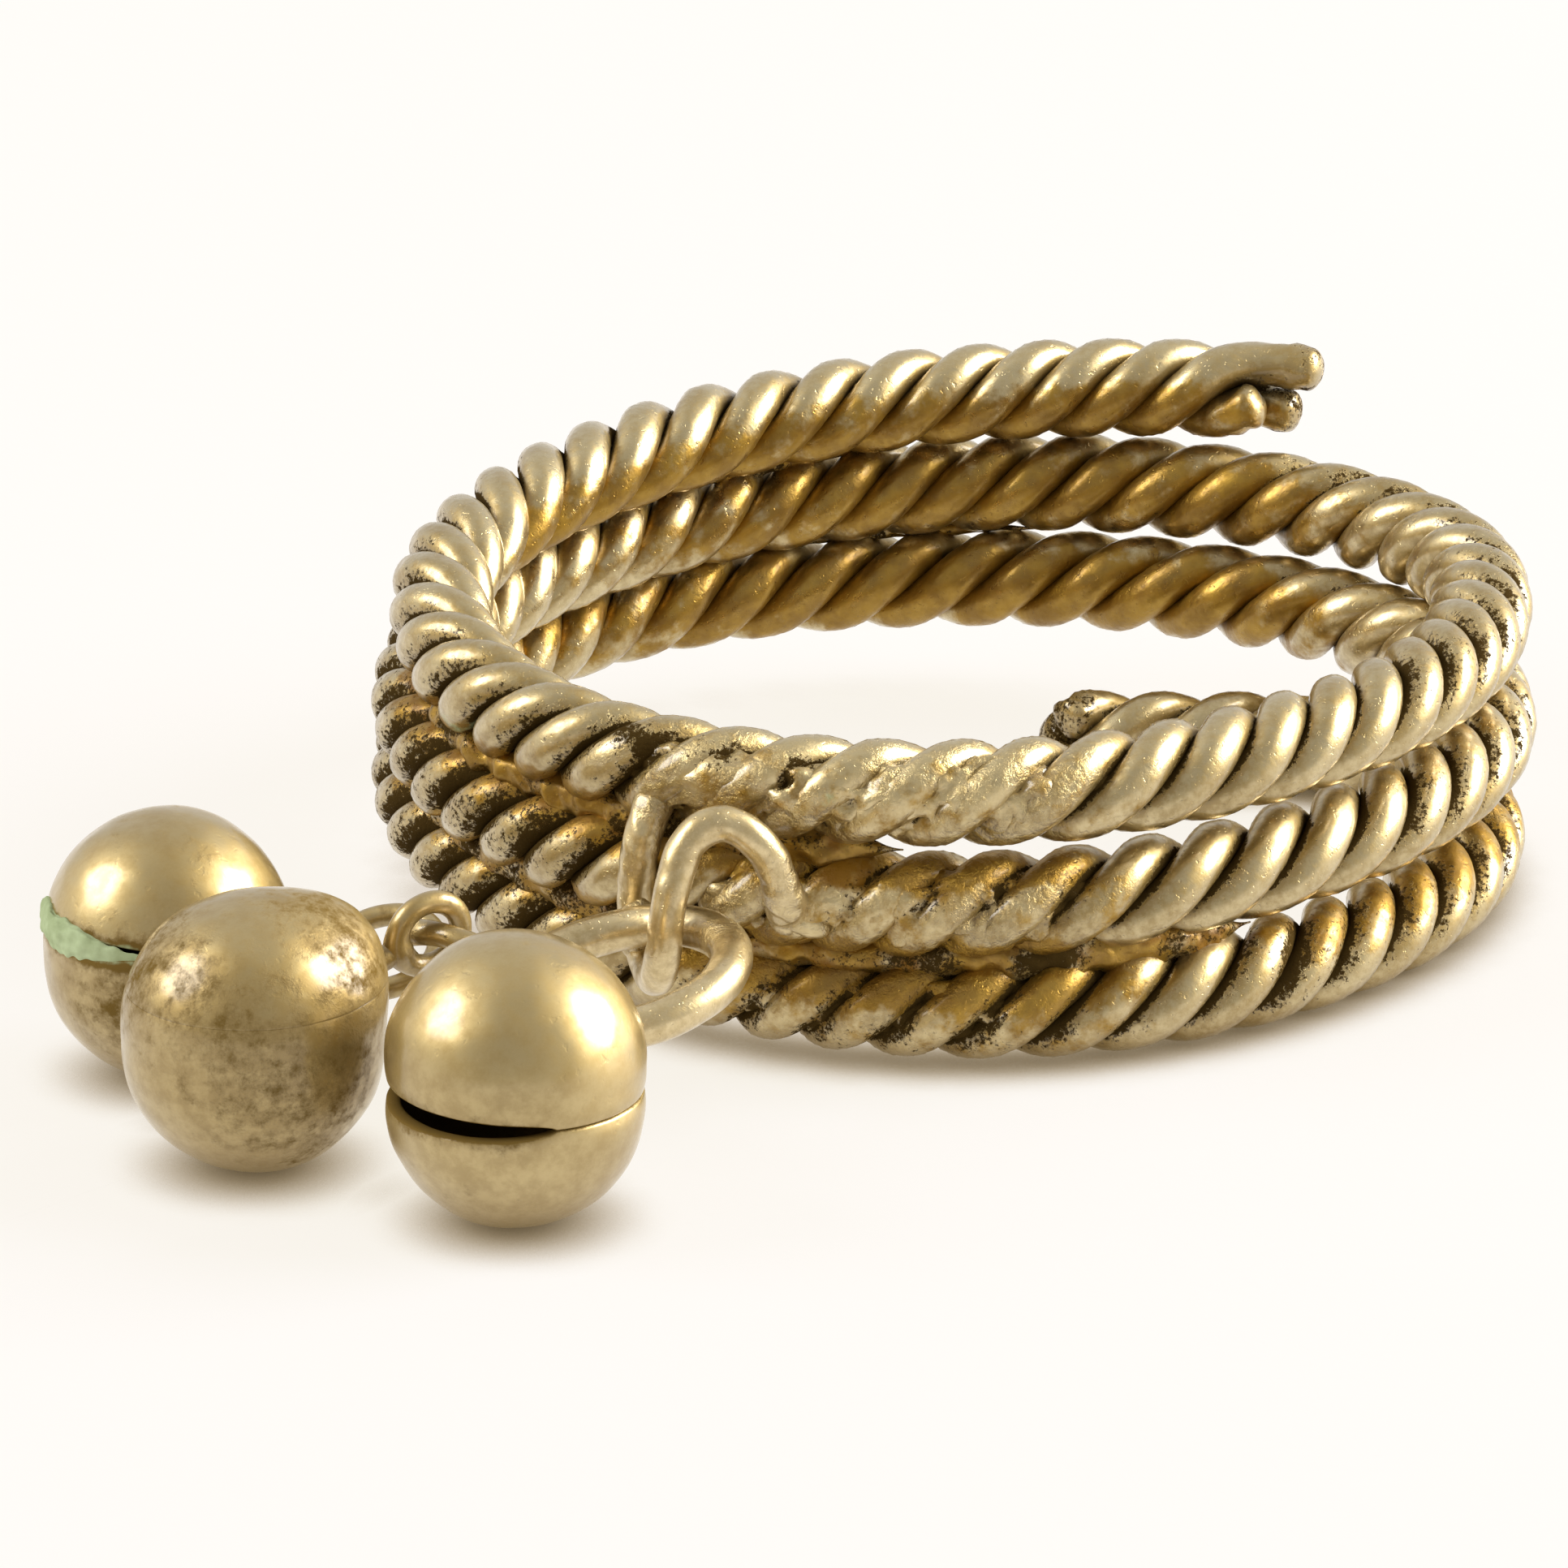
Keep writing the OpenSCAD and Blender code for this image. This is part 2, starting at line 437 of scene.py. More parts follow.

# Where tarnish, residue and solder lie on the rope, with some painted shade on the coil's inner side.
# Columns: first and last coil angle, lean and spread in degrees, amount, and in some rows the coil
# angle over which it fades.
STAINS = {
    Mark.TARNISH: (
        (0, 1200, 0, 180, 0.23),
        (130, 240, 30, 130, 0.28),
        (500, 592, 30, 120, 0.45),
        (860, 950, 30, 130, 0.46),
        (325, 420, 70, 130, 0.4),
        (680, 780, 50, 130, 0.34),
        (1020, 1105, 50, 130, 0.33),
        (996, 1030, 40, 100, 0.15),
        (960, 1030, -60, 70, 0.14),
        (612, 680, 60, 90, 0.16),
        (282, 325, 60, 100, 0.1),
        (1095, 1149, 90, 180, 0.15),
        (232, 282, 0, 150, 0.08, 22),
        (602, 640, 0, 150, 0.14, 22),
        (954, 1000, 10, 150, 0.26, 22),
        (231, 236, 60, 35, 0.42, 5),
        (241, 245, 50, 35, 0.45, 4),
        (249, 252, 40, 35, 0.4, 4),
    ),
    Mark.AMBER: (
        (185, 232, -60, 60, 0.9),
        (545, 600, 70, 60, 0.9),
        (545, 600, -70, 60, 0.8),
        (900, 960, 70, 60, 0.8),
        (962, 1002, 65, 60, 1.0),
        (602, 640, 75, 50, 0.7),
        (602, 640, -75, 50, 0.8),
        (1020, 1090, 55, 70, 0.75),
        (675, 730, 75, 60, 0.5),
        # Amber on the side facing into the coil: partly amber film, partly painted shade that darkens and
        # warms the coil's inner faces.
        (400, 490, 180, 130, 0.85, 50),
        (760, 855, 180, 130, 0.95, 50),
        (490, 545, 150, 90, 0.32, 30),
        (855, 905, 130, 70, 0.5, 30),
        (54, 170, 225, 130, 0.85, 40),
        (232, 290, 0, 150, 0.5, 20),
        (594, 650, 0, 150, 0.5, 20),
        (954, 1010, 10, 150, 0.55, 20),
    ),
    Mark.RUST: (
        (612, 619, 60, 45, 0.8, 6),
        (530, 605, 85, 60, 0.62),
        (890, 965, 85, 60, 0.62),
        (690, 740, 85, 40, 0.45),
        (965, 1060, 80, 40, 0.5),
    ),
    Mark.GREEN: (
        (205, 214, -40, 50, 0.5, 8),
        (250, 256, 20, 40, 0.5, 8),
    ),
    Mark.SOLDER: (
        (235, 280, 0, 150, 0.85, 20),
        (602, 638, 0, 150, 0.85, 20),
        (958, 996, 10, 120, 0.6, 20),
    ),
}


@dataclass(frozen=True)
class TwistedBand:
    """The band: three wires laid up into a rope, and the rope wound three times and a little more.

    The rope's middle line has a radius and a height for each angle around the coil. Each wire's
    middle line goes round the rope's, at an even distance from it. Angles are in degrees.
    """

    rows: tuple[tuple[float, float, float], ...] = ROUTE_ROWS
    lay: float = 4.17  # length of rope on which the wires go round once
    lay_angle: float = 23.4  # coil angle of one lay, about
    # How many crests the wires run ahead of an even lay. Columns: coil angle, crests.
    phase: tuple[tuple[float, float], ...] = (
        (54, 1.45),
        (61, 0.6),
        (67, 0.45),
        (90, 0.55),
        (145, 0.05),
        (200, -0.7),
        (240, -0.5),
        (285, -0.4),
        (355, -0.4),
        (440, -0.65),
        (571, -0.35),
        (606, 0.05),
        (633, 0.6),
        (681, 0.15),
        (770, -0.3),
        (801, -0.6),
        (855, -1.0),
        (955, -0.8),
        (990, -0.5),
        (1149, -0.7),
    )
    wire_radius: float = 0.45
    wire_offset: float = 0.56  # from the rope's middle line to a wire's
    worn_radius: float = 0.985  # what stands out farther than this is worn down
    groove_radius: float = 0.54  # where the ridge mark is 0; it is 1 at the worn radius
    core_radius: float = 0.43
    solder_radius: float = 0.965  # the core's, where solder floods it
    starts: tuple[float, float, float] = (60.3, 57.8, 55.6)  # coil angles where the wires are cut
    ends: tuple[float, float, float] = (1148.5, 1147.0, 1148.0)
    cut_reach: float = 4.0  # coil angle over which a cut end is rough
    rings_per_lay: int = 34
    sides: int = 24
    core_rings: int = 1500
    core_sides: int = 56
    web_sides: int = 32
    stains: tuple[Stain, ...] = tuple(Stain(mark, *row) for mark, rows in STAINS.items() for row in rows)
    # Residue between two rows. Columns: first and last coil angle on the upper row, radius, seed.
    webs: tuple[tuple[float, float, float, int], ...] = (
        (96.0, 192.0, 0.24, 161),
        (190.0, 262.0, 0.38, 141),
        (440.0, 550.0, 0.12, 171),
        (546.0, 662.0, 0.38, 151),
    )

    def middle(self, coil: np.ndarray) -> np.ndarray:
        """Points of the rope's middle line: radius times cosine and sine of the angle, and height."""
        rows = np.array(self.rows, float)
        radius, angle = smooth_column(rows, coil, 1), np.radians(coil)
        return np.stack([radius * np.cos(angle), radius * np.sin(angle), smooth_column(rows, coil, 2)], -1)

    def frames(self, coil: np.ndarray) -> tuple[np.ndarray, np.ndarray]:
        """The directions out of the coil and up, both square to the rope, at each angle."""
        along = unit(self.middle(coil + 0.5) - self.middle(coil - 0.5))
        side = unit(np.cross(along, UP))
        return side, np.cross(side, along)

    def turn(self, coil: np.ndarray) -> np.ndarray:
        """How far the wires have gone round the rope at each coil angle, in degrees.

        A whole turn for each lay of length along the rope, plus the phase, which is counted in
        crests, three to a turn.
        """
        steps = np.linspace(self.rows[0][0], self.rows[-1][0], 8001)
        pieces = np.linalg.norm(np.diff(self.middle(steps), axis=0), axis=1)
        length = np.interp(coil, steps, np.concatenate([[0.0], np.cumsum(pieces)]))
        return 360.0 * length / self.lay + 120.0 * smooth_column(np.array(self.phase, float), coil, 1)

    def around(self, coil: np.ndarray, points: np.ndarray) -> tuple[np.ndarray, np.ndarray]:
        """Where points lie around the rope.

        Args:
            coil: The coil angle of each row of points.
            points: Rows of points in millimetres.

        Returns:
            Their angle around the rope's middle line in degrees, and their distance from it.
        """
        side, up = self.frames(coil)
        offset = points - self.middle(coil)[:, None]
        out = np.einsum("ijk,ik->ij", offset, side)
        high = np.einsum("ijk,ik->ij", offset, up)
        return np.degrees(np.arctan2(high, out)), np.hypot(out, high)

    def marks(self, coil: np.ndarray, points: np.ndarray) -> dict[Mark, np.ndarray]:
        """The marks of rows of points on the rope: all stains added up, and the ridge height.

        Args:
            coil: The coil angle of each row of points.
            points: Rows of points in millimetres.

        Returns:
            The marks, each with one value for each point.
        """
        section, distance = self.around(coil, points)
        marks = {mark: np.zeros(section.shape) for mark in Mark}
        for stain in self.stains:
            marks[stain.mark] += stain.on(coil[:, None], section)
        marks[Mark.RIDGE] = (distance - self.groove_radius) / (self.worn_radius - self.groove_radius)
        return {mark: held(values) for mark, values in marks.items()}

    def wire(self, index: int) -> Sheet:
        """One of the three wires.

        Its middle line is the rope's, plus the offset times the cosine of the turn outwards and its
        sine upwards. Its crests are worn flat: what stands out past the worn radius is halved.

        Args:
            index: Which wire, 0 to 2.

        Returns:
            The wire's surface.
        """
        start, end = self.starts[index], self.ends[index]
        count = int((end - start) / self.lay_angle * self.rings_per_lay)
        coil = np.linspace(start, end, count)
        side, up = self.frames(coil)
        angle = np.radians(self.turn(coil) + 120.0 * index)[:, None]
        outwards = np.cos(angle) * side + np.sin(angle) * up
        path = self.middle(coil) + self.wire_offset * outwards
        wander = 0.015 * ripple(path, 3.0, 11 + index)
        path = path + wander[:, None] * outwards
        rings = tube_rings(path, np.full(count, self.wire_radius), self.sides, outwards)
        rings = scaled(rings, path, 1.0 + 0.03 * ripple(rings, 1.4, 21 + index))
        past = np.maximum(self.around(coil, rings)[1] - self.worn_radius, 0.0)
        rings = rings - 0.5 * past[..., None] * outwards[:, None]
        dimples = 0.006 * ripple(rings, 0.35, 31 + index)
        rings = pushed(rings, path, dimples)
        marks = self.marks(coil, rings)
        cut = bump(coil - start, self.cut_reach) + bump(end - coil, self.cut_reach)
        cut = held(cut)[:, None]
        marks[Mark.RIDGE] = marks[Mark.RIDGE] * (1.0 - cut) + 0.62 * cut
        marks[Mark.TARNISH] = held(marks[Mark.TARNISH] + 0.34 * cut)
        marks[Mark.RUST] = held(marks[Mark.RUST] + 0.36 * cut)
        burrs = 0.05 * cut * ripple(rings, 0.45, 37 + index)
        return closed_tube(pushed(rings, path, burrs), 0.28, marks)

    def core(self) -> Sheet:
        """The filling between the wires, which swells over them where solder has run.

        Its radius is the core radius plus the solder mark times the way to the solder radius, with
        noise that leaves some hollows.

        Returns:
            The core's surface.
        """
        from_start, from_end = 12.0, 6.0
        first, last = self.rows[0][0] + from_start, self.rows[-1][0] - from_end
        coil = np.linspace(first, last, self.core_rings)
        path = self.middle(coil)
        plain = tube_rings(path, np.ones(len(coil)), self.core_sides, UP)
        solder = self.marks(coil, plain)[Mark.SOLDER]
        uneven = 0.5 + layered(plain, (0.5, 1.1, 41), (0.35, 0.45, 42))
        flood = held(1.2 * solder * (0.4 + 0.75 * uneven))
        lumps = layered(plain, (0.03, 0.9, 45), (0.022, 0.4, 46), (0.01, 0.17, 47))
        swollen = self.core_radius + (self.solder_radius - self.core_radius) * flood
        rings = tube_rings(path, swollen + lumps * (0.3 + 0.7 * flood), self.core_sides, UP)
        # Where no solder floods the core, it lies below the groove radius: its ridge mark is 0, so the
        # material paints groove shade on it.
        return closed_tube(rings, 0.1, self.marks(coil, rings))

    def web(self, start: float, end: float, reach: float, seed: int) -> Sheet:
        """Residue that has filled the gap between a row of the rope and the row below it.

        Its middle line runs midway between the two rows, moved a little out of the coil. It thins out
        towards both ends.

        Args:
            start: Coil angle at which it starts, on the upper row.
            end: Coil angle at which it ends.
            reach: Radius of its thick part, in millimetres.
            seed: Number that picks its unevenness.

        Returns:
            The residue's surface.
        """
        rings_per_degree, thinnest, moved_out = 3.0, 0.02, 0.1
        fade_in, fade_out = 12.0, 8.0
        coil = np.linspace(start, end, int((end - start) * rings_per_degree))
        side = self.frames(coil)[0]
        path = 0.5 * (self.middle(coil) + self.middle(coil + 360.0)) + moved_out * side
        fullness = ease((coil - start) / fade_in) * ease((end - coil) / fade_out)
        plain = tube_rings(path, thinnest + (reach - thinnest) * fullness, self.web_sides, UP)
        swell = 1.0 + layered(plain, (0.2, 0.9, seed), (0.12, 0.35, seed + 1))
        rings = scaled(plain, path, swell)
        patchy = held(0.7 + 0.35 * ripple(rings, 1.6, seed + 2))
        marks = even_marks(rings, {Mark.RIDGE: 0.7})
        marks[Mark.AMBER] = patchy
        marks[Mark.TARNISH] = 0.9 - 0.6 * patchy
        marks[Mark.RUST] = held(0.45 + 0.28 * ripple(rings, 1.2, seed + 3))
        return closed_tube(rings, 0.02, marks)

    def residue(self) -> list[Sheet]:
        """The residue between the rows: one surface for each stretch where the rows touch."""
        return [self.web(*stretch) for stretch in self.webs]


@dataclass(frozen=True)
class Bail:
    """The bent wire loop that is soldered on the front of the band and holds the jump ring."""

    # The wire's middle line, from its foot on the second row to its foot on the upper row.
    # Columns: x, y, z.
    knots: tuple[tuple[float, float, float], ...] = (
        (-3.5, -10.1, 3.0),
        (-3.6, -10.9, 3.7),
        (-3.97, -11.15, 4.72),
        (-4.7, -11.15, 5.22),
        (-5.35, -11.32, 4.9),
        (-5.7, -11.65, 3.9),
        (-5.8, -11.7, 3.0),
        (-5.95, -11.15, 2.2),
        (-6.15, -10.15, 2.1),
        (-6.35, -9.6, 3.0),
        (-6.25, -9.65, 4.2),
        (-6.0, -9.4, 5.0),
    )
    wire_radius: float = 0.335
    sides: int = 32
    # Runs of solder. Columns: x, y and z of the middle, reach along x, y and z.
    pads: tuple[tuple[float, float, float, float, float, float], ...] = (
        (-3.2, -10.3, 3.05, 0.5, 0.4, 0.4),
        (-6.3, -9.9, 2.7, 0.42, 0.4, 0.55),
    )

    def path(self, count: int = 400) -> np.ndarray:
        """Points of the wire's middle line, in millimetres, smooth from knot to knot."""
        steps = np.arange(len(self.knots), dtype=float)
        table = np.column_stack([steps, np.array(self.knots, float)])
        u = np.linspace(0.0, steps[-1], count)
        return np.stack([smooth_column(table, u, k) for k in (1, 2, 3)], axis=-1)

    def wire(self) -> Sheet:
        """The wire, a little thicker where solder holds its two feet.

        The radius is the wire's, times one plus a soft hill at each end and some unevenness.

        Returns:
            The wire's surface.
        """
        path = self.path()
        t = np.linspace(0.0, 1.0, len(path))
        foot = bump(t, 0.13) + 0.5 * bump(t - 1.0, 0.15)
        thick = 1.0 + 0.22 * foot + 0.03 * ripple(path, 1.5, 51)
        crosswise = np.array([1.0, 0.05, 0.02])
        rings = tube_rings(path, self.wire_radius * thick, self.sides, crosswise)
        rough = 0.01 * ripple(rings, 0.5, 52) + 0.045 * foot[:, None] * ripple(rings, 0.42, 53)
        rings = pushed(rings, path, rough)
        tarnish = 0.25 * bump(t, 0.06) + 0.45 * bump(t - 1.0, 0.12) + 0.03
        marks = even_marks(rings, {Mark.RIDGE: 0.9})
        marks[Mark.TARNISH] = per_ring(tarnish, self.sides)
        marks[Mark.SOLDER] = per_ring(held(foot), self.sides)
        return closed_tube(rings, 0.2, marks)

    def pad(self, index: int) -> Sheet:
        """One run of solder: a ball drawn out along each axis, with an uneven surface.

        Args:
            index: Which row of the pads.

        Returns:
            The run's surface.
        """
        middle, reach = np.array(self.pads[index][:3]), np.array(self.pads[index][3:])
        steepest, rows, columns = 84.0, 41, 56
        lift = np.radians(np.linspace(-steepest, steepest, rows))[:, None]
        around = circle_angles(columns)[None]
        flat, rise = np.cos(lift), np.sin(lift) + 0.0 * around
        ball = np.stack([flat * np.cos(around), flat * np.sin(around), rise], axis=-1)
        uneven = 1.0 + layered(ball * reach, (0.12, 0.9, 60 + index), (0.08, 0.4, 70 + index))
        grid = middle + reach * ball * uneven[..., None]
        poles = middle + reach * np.stack([-UP, UP])
        marks = even_marks(grid, {Mark.RIDGE: 0.9, Mark.SOLDER: 1.0, Mark.TARNISH: 0.35})
        return Sheet(grid, poles, marks)

    def sheets(self) -> list[Sheet]:
        """The wire and all its runs of solder."""
        return [self.wire()] + [self.pad(index) for index in range(len(self.pads))]


@dataclass(frozen=True)
class WireRing:
    """A closed ring of round wire.

    The ring lies flat about its own middle, then is turned about X, Y and Z and moved to its place.
    """

    place: tuple[float, float, float]
    turns: tuple[float, float, float]
    radius: float
    wire_radius: float
    seed: int
    joint: float = 0.0  # angle at which its ends are soldered together
    swell: float = 0.0  # share by which it is thicker there
    tarnish: float = 0.1
    rings: int = 192
    sides: int = 32

    def sheet(self) -> Sheet:
        """The ring's surface: the path is a circle that is a little out of round.

        The wire's radius swells by a soft hill at the joint, the angle where its ends are soldered.

        Returns:
            The surface, closed both ways.
        """
        angle = circle_angles(self.rings)
        flat = np.stack([np.cos(angle), np.sin(angle), 0.0 * angle], axis=-1)[:, None]
        reach = self.radius * (1.0 + 0.008 * np.cos(2.0 * angle + self.seed))
        away = degrees_apart(angle, self.joint)
        wire = self.wire_radius * (1.0 + self.swell * bump(away, 22.0))
        section = circle_angles(self.sides)[None, :, None]
        across = np.cos(section) * flat + np.sin(section) * UP
        grid = reach[:, None, None] * flat + wire[:, None, None] * across
        grid = grid + 0.007 * ripple(grid, 0.8, self.seed)[..., None] * across
        marks = even_marks(grid, {Mark.RIDGE: 0.85, Mark.TARNISH: self.tarnish})
        marks[Mark.SOLDER] = per_ring(bump(away, 12.0), self.sides)
        return Sheet(grid, None, marks).moved(self.place, turned(*self.turns))


@dataclass(frozen=True)
class Dent:
    """A place where a bell is pushed in, or out where the depth is negative.

    The depth is in millimetres. The other values are in degrees about the bell's middle.
    """

    azimuth: float
    elevation: float
    width: float
    depth: float


@dataclass(frozen=True)
class Bell:
    """A hollow bell of two pressed domes, with a slit on one side and a shank loop on the other.

    Lengths are in millimetres. Turns are counted around the bell from +X, in degrees.
    """

    place: tuple[float, float, float]
    diameter: float
    straight: float  # height of the straight part between the domes
    slit_height: float  # above the bell's middle
    slit_turn: float
    slit_opening: float
    shank_turn: float
    shank_rise: float
    loop_radius: float
    loop_roll: float
    neck: float  # length of wire between the shell and the loop
    seed: int
    slit_reach: float = 80.0  # from the slit's middle to each end, in degrees
    wall: float = 0.3
    shank_radius: float = 0.21
    dents: tuple[Dent, ...] = ()
    crust: float = 0.0  # amount of pale crust in the slit
    crusted: tuple[float, float] = (172.0, 264.0)  # turns between which the crust fills the slit
    mottle: float = 0.3  # tarnish all over
    lip_depth: float = 0.03  # how far the shell is drawn in at the lip
    lip_wear: float = 0.4
    lap: float = 0.012  # how far the domes overlap where the slit is closed
    columns: int = 160

    def outline(self, length: np.ndarray, radius: float) -> tuple[np.ndarray, np.ndarray]:
        """Half of the bell's outline, by its length from the upper pole.

        A quarter circle, then the straight part, then another quarter circle.

        Args:
            length: Length along the outline, in millimetres.
            radius: Radius of the domes.

        Returns:
            Distance from the bell's axis, and height above its middle.
        """
        quarter = 0.5 * math.pi * radius
        upper, lower = length / radius, (length - self.straight) / radius
        half = 0.5 * self.straight
        in_upper, in_lower = length < quarter, length > quarter + self.straight
        distance = np.where(in_upper, np.sin(upper), np.where(in_lower, np.sin(lower), 1.0)) * radius
        above, below = half + radius * np.cos(upper), radius * np.cos(lower) - half
        height = np.where(in_upper, above, np.where(in_lower, below, half - (length - quarter)))
        return distance, height

    def length_at(self, height: np.ndarray, radius: float) -> np.ndarray:
        """The length along the outline at a height above the bell's middle."""
        quarter, half = 0.5 * math.pi * radius, 0.5 * self.straight
        upper = radius * np.arccos(np.clip((height - half) / radius, -1.0, 1.0))
        lower = self.straight + radius * np.arccos(np.clip((height + half) / radius, -1.0, 1.0))
        return np.where(height > half, upper, np.where(height < -half, lower, quarter + half - height))

    def shaped(self, points: np.ndarray) -> np.ndarray:
        """Moves points about the bell's middle in or out by its dents and a slight waviness."""
        aim = unit(points)
        moved = layered(points, (0.02, 2.2, self.seed), (0.006, 0.7, self.seed + 1))
        for dent in self.dents:
            cosine = np.clip(aim @ direction(dent.azimuth, dent.elevation), -1.0, 1.0)
            away = np.degrees(np.arccos(cosine))
            moved = moved - dent.depth * bump(away, dent.width)
        return points + moved[..., None] * aim

    def profile(self, lip: np.ndarray) -> tuple[np.ndarray, np.ndarray, np.ndarray]:
        """A dome's outline: down its outside to the lip, round the lip, and back up its inside.

        Near the lip the outside is drawn in by a soft hill, and its rows lie closer together.

        Args:
            lip: Height of the lip on each column of the surface, counted towards the dome's pole.

        Returns:
            Rows of distances from the axis with heights, how near each point is to the lip and how
            far inside each row is, both from 0 to 1.
        """
        outer, inner = 0.5 * self.diameter, 0.5 * self.diameter - self.wall
        outer_length, inner_length = self.length_at(lip, outer), self.length_at(lip, inner)
        sparse, dense = np.linspace(0.03, 0.85, 34), np.linspace(0.85, 0.985, 18)
        down = np.concatenate([sparse, dense[1:]])
        outside = np.stack(self.outline(down[:, None] * outer_length, outer), axis=-1)
        inside = np.stack(self.outline(down[::-2, None] * inner_length, inner), axis=-1)
        to_lip = (1.0 - down[:, None]) * outer_length
        outside[..., 0] -= self.lip_depth * bump(to_lip, 0.14)
        t = np.linspace(0.0, math.pi, 9)[1:-1, None, None]
        middle, reach = 0.5 * (outside[-1] + inside[0]), 0.5 * (outside[-1] - inside[0])
        roll = np.array([0.0, 0.06])
        edge = middle + np.cos(t) * reach - np.sin(t) * roll
        near = np.concatenate([bump(to_lip, 0.22), np.ones((len(edge) + len(inside), len(lip)))])
        entered = [np.zeros(len(outside)), np.linspace(0.2, 1.0, len(edge)), np.ones(len(inside))]
        return np.concatenate([outside, edge, inside]), near, np.concatenate(entered)

    def dome(self, half: Half) -> Sheet:
        """One dome.

        Its lip lies half of the opening from the slit's middle height, towards this dome's pole. The
        opening is widest in the middle of the slit and closes at its ends, as the square root of one
        less the square of the way there.

        Args:
            half: Which dome.

        Returns:
            The dome's surface.
        """
        azimuth = circle_angles(self.columns)
        share = held(1.0 - (degrees_apart(azimuth, self.slit_turn) / self.slit_reach) ** 2)
        opening = self.slit_opening * np.sqrt(share) - self.lap
        rows, near, inside = self.profile(half.value * self.slit_height + 0.5 * opening)
        rho, z = rows[..., 0], half.value * rows[..., 1]
        grid = self.shaped(np.stack([rho * np.cos(azimuth), rho * np.sin(azimuth), z], axis=-1))
        tops = 0.5 * (self.diameter + self.straight) - np.array([0.0, self.wall])
        poles = self.shaped(half.value * tops[:, None] * UP)
        near, inside = near * ease(share / 0.3), inside[:, None] + 0.0 * near
        to_crust = grid[..., 2] - self.slit_height + 0.12 * half.value
        crusted = self.crust * bump(to_crust, 0.36) * ease((share - 0.02) / 0.3)
        mottle = self.mottle * (1.0 + 0.45 * ripple(grid, 3.4, self.seed + 9))
        # The ridge mark is 0 on the inside, so the material paints groove shade inside the bell.
        marks = {
            Mark.RIDGE: (1.0 - inside) * (1.0 - self.lip_wear * near),
            Mark.TARNISH: held(mottle + 0.9 * inside + 0.5 * self.lip_wear * near),
            Mark.GREEN: crusted * (1.0 - inside),
        }
        return Sheet(grid, poles, marks).moved(self.place)

    def filled_slit(self) -> Sheet:
        """A pale crust that fills the slit on the side that shows, standing a little proud.

        Its middle line follows the slit. It is flattened against the bell and thin at both ends.

        Returns:
            The crust's surface.
        """
        count, sides = 150, 40
        azimuth = np.radians(np.linspace(*self.crusted, count))
        t = np.linspace(0.0, 1.0, count)
        height = self.slit_height + 0.05 - 0.12 * t
        outer = 0.5 * self.diameter
        reach = self.outline(self.length_at(height, outer), outer)[0] - 0.06
        path = np.stack([reach * np.cos(azimuth), reach * np.sin(azimuth), height], axis=-1)
        wide = 0.08 + 0.27 * ease(t / 0.15) * ease((1.0 - t) / 0.5)
        plain = tube_rings(path, wide, sides, UP)
        offset = plain - path[:, None]
        away = unit(path * (1.0 - UP))[:, None]
        flat = offset - 0.6 * np.einsum("ijk,ilk->ij", offset, away)[..., None] * away
        swell = 1.0 + layered(plain, (0.16, 0.7, self.seed + 7), (0.12, 0.25, self.seed + 8))
        rings = path[:, None] + flat * swell[..., None]
        marks = even_marks(rings, {Mark.GREEN: 1.0, Mark.RIDGE: 1.0})
        return closed_tube(rings, 0.04, marks).moved(self.place)

    def shank(self) -> list[Sheet]:
        """The shank: a wire loop, thicker at its soldered foot, and its neck.

        Returns:
            The surfaces of the loop and of the neck.
        """
        aim = turned(0.0, -self.shank_rise, self.shank_turn)
        outer = 0.5 * self.diameter
        sunk_loop, sunk_start, sunk_end = 0.1, 0.12, 0.08
        ring = WireRing(
            place=(outer + self.neck + self.loop_radius - sunk_loop, 0.0, 0.0),
            turns=(90.0 - self.loop_roll, 0.0, 0.0),
            radius=self.loop_radius,
            wire_radius=self.shank_radius,
            seed=self.seed + 5,
            joint=180.0,
            swell=0.35,
            tarnish=0.45,
        )
        start, end = outer - sunk_start, outer + self.neck + sunk_end
        count, sides = 24, 32
        path = np.linspace([start, 0.0, 0.0], [end, 0.0, 0.0], count)
        foot = self.shank_radius * (1.1 + 0.7 * bump(path[:, 0] - start, 0.25))
        rings = tube_rings(path, foot, sides, UP)
        marks = even_marks(rings, {Mark.RIDGE: 0.6, Mark.TARNISH: 0.5, Mark.SOLDER: 1.0})
        return [part.moved(self.place, aim) for part in (ring.sheet(), closed_tube(rings, 0.04, marks))]

    def sheets(self) -> list[Sheet]:
        """Both domes, the shank and, where there is one, the crust in the slit."""
        filled = [self.filled_slit()] if self.crust > 0.0 else []
        return [self.dome(Half.UPPER), self.dome(Half.LOWER)] + self.shank() + filled


